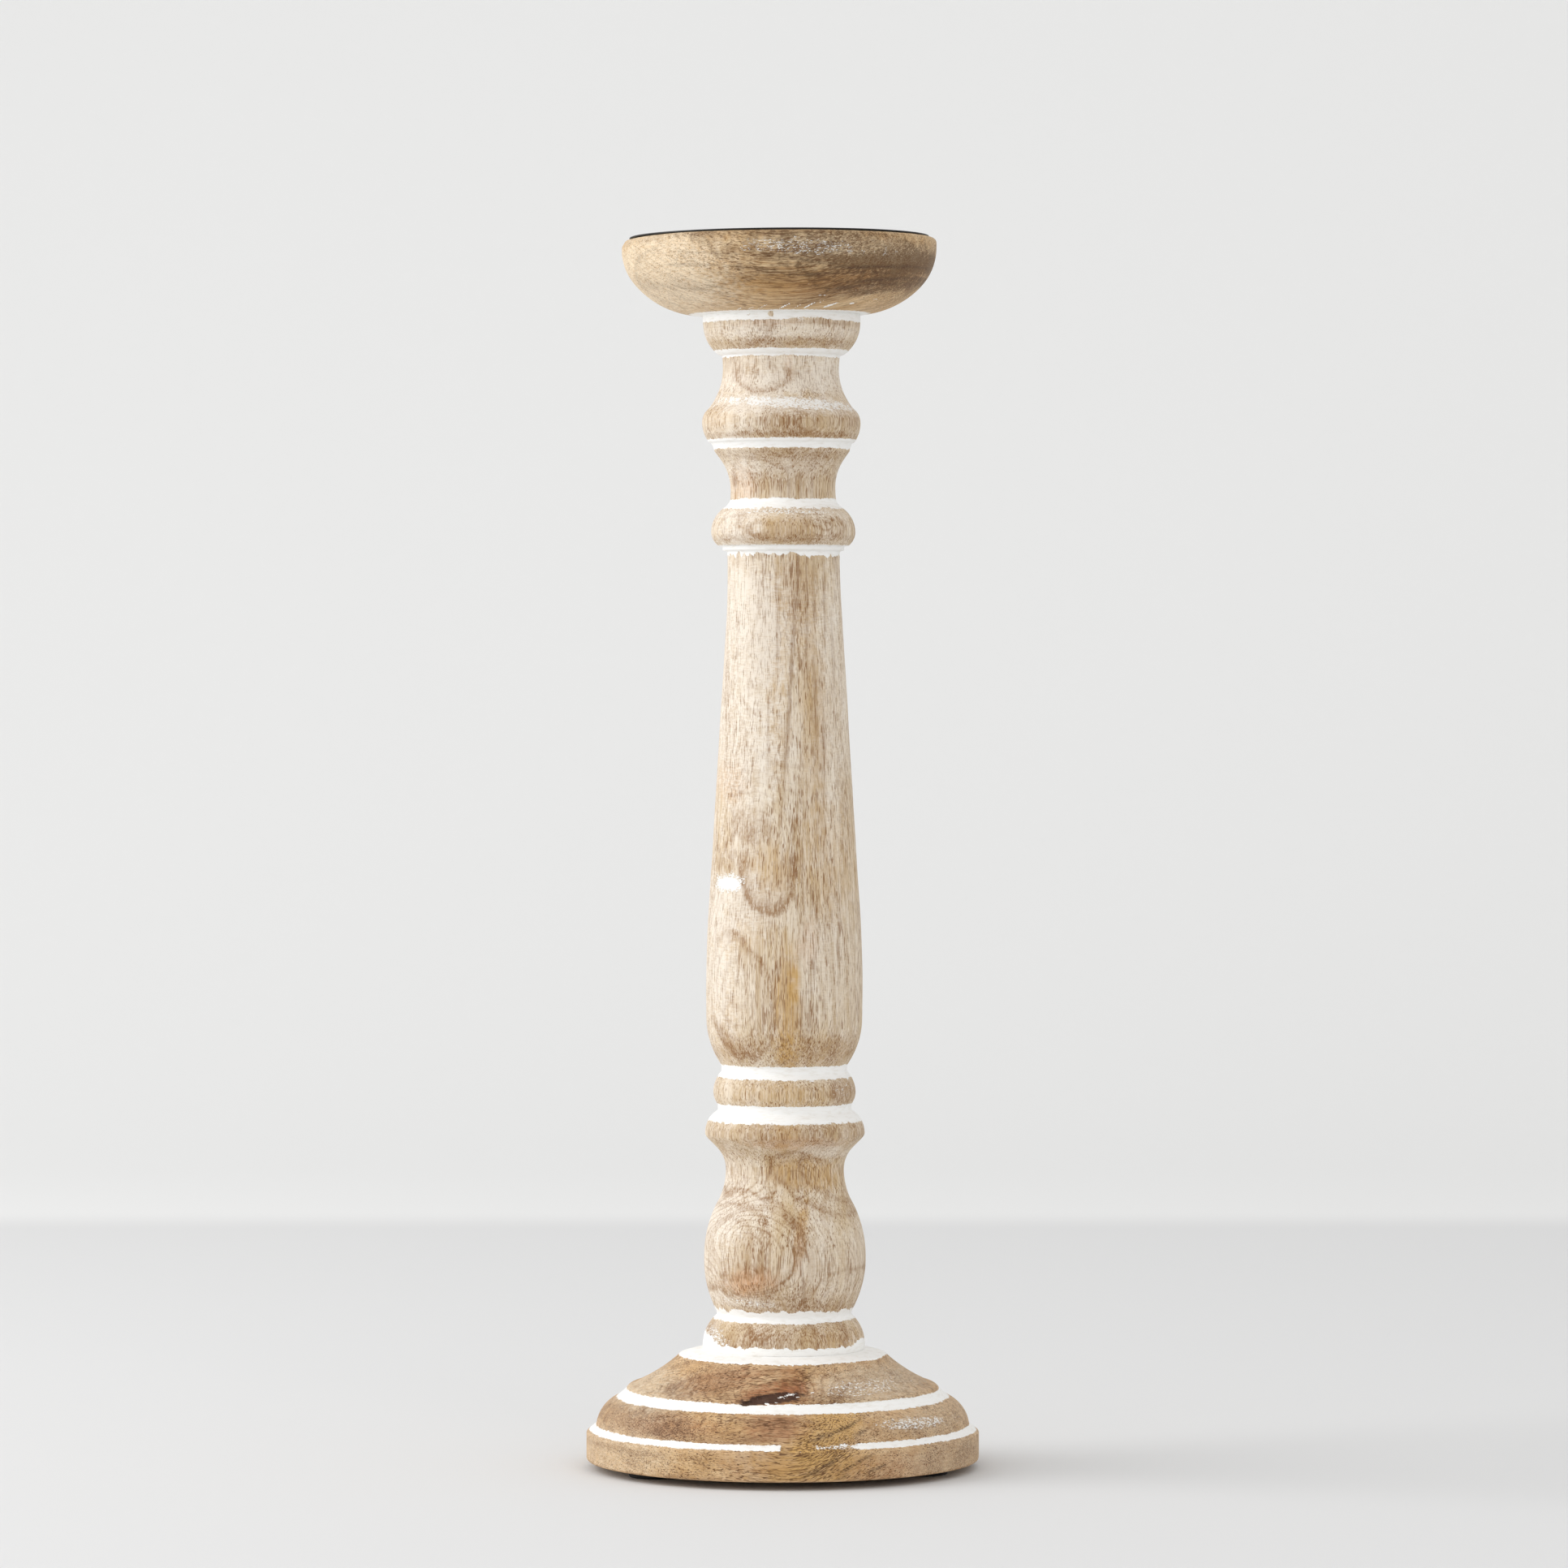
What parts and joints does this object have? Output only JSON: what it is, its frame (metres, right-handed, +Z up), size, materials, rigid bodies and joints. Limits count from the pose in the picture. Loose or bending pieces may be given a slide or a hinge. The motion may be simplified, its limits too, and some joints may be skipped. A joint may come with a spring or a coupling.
{
  "type": "pillar candlestick",
  "caption": "Tall turned wooden candlestick: round stepped base, baluster column and shallow dish, with a lift-out black steel wax tray for a pillar candle.",
  "frame": {"origin": "on the floor under the column's axis, at the centre of the foot's outline", "axes": "+Z up along the turned axis; -Y is the side the reference view shows as the front; +X to that view's right"},
  "size_m": [0.1214, 0.1214, 0.38],
  "materials": {
    "base_wood": "honey-brown turned mango wood, matt, with worn white paint in the grooves",
    "column_wood": "pale bleached mango wood, matt, with worn white paint in the grooves",
    "dish_wood": "honey-brown turned mango wood, matt, with a few white brush marks",
    "black_steel": "satin black powder coat on pressed sheet steel",
    "screw_steel": "zinc-plated",
    "pad_rubber": "matt"
  },
  "bodies": {
    "stand": {"base": "base_wood", "column": "column_wood", "candle_dish": "dish_wood", "base_screw": "screw_steel", "base_washer": "screw_steel", "dish_screw": "screw_steel", "foot_pad_1": "pad_rubber", "foot_pad_2": "pad_rubber", "foot_pad_3": "pad_rubber"},
    "tray": {"wax_tray": "black_steel"}
  },
  "joints": [
    {"name": "tray_lift", "type": "slide", "parent": "stand", "child": "tray", "axis": [0, 0, 1], "range_m": [0, 0.03]}
  ]
}
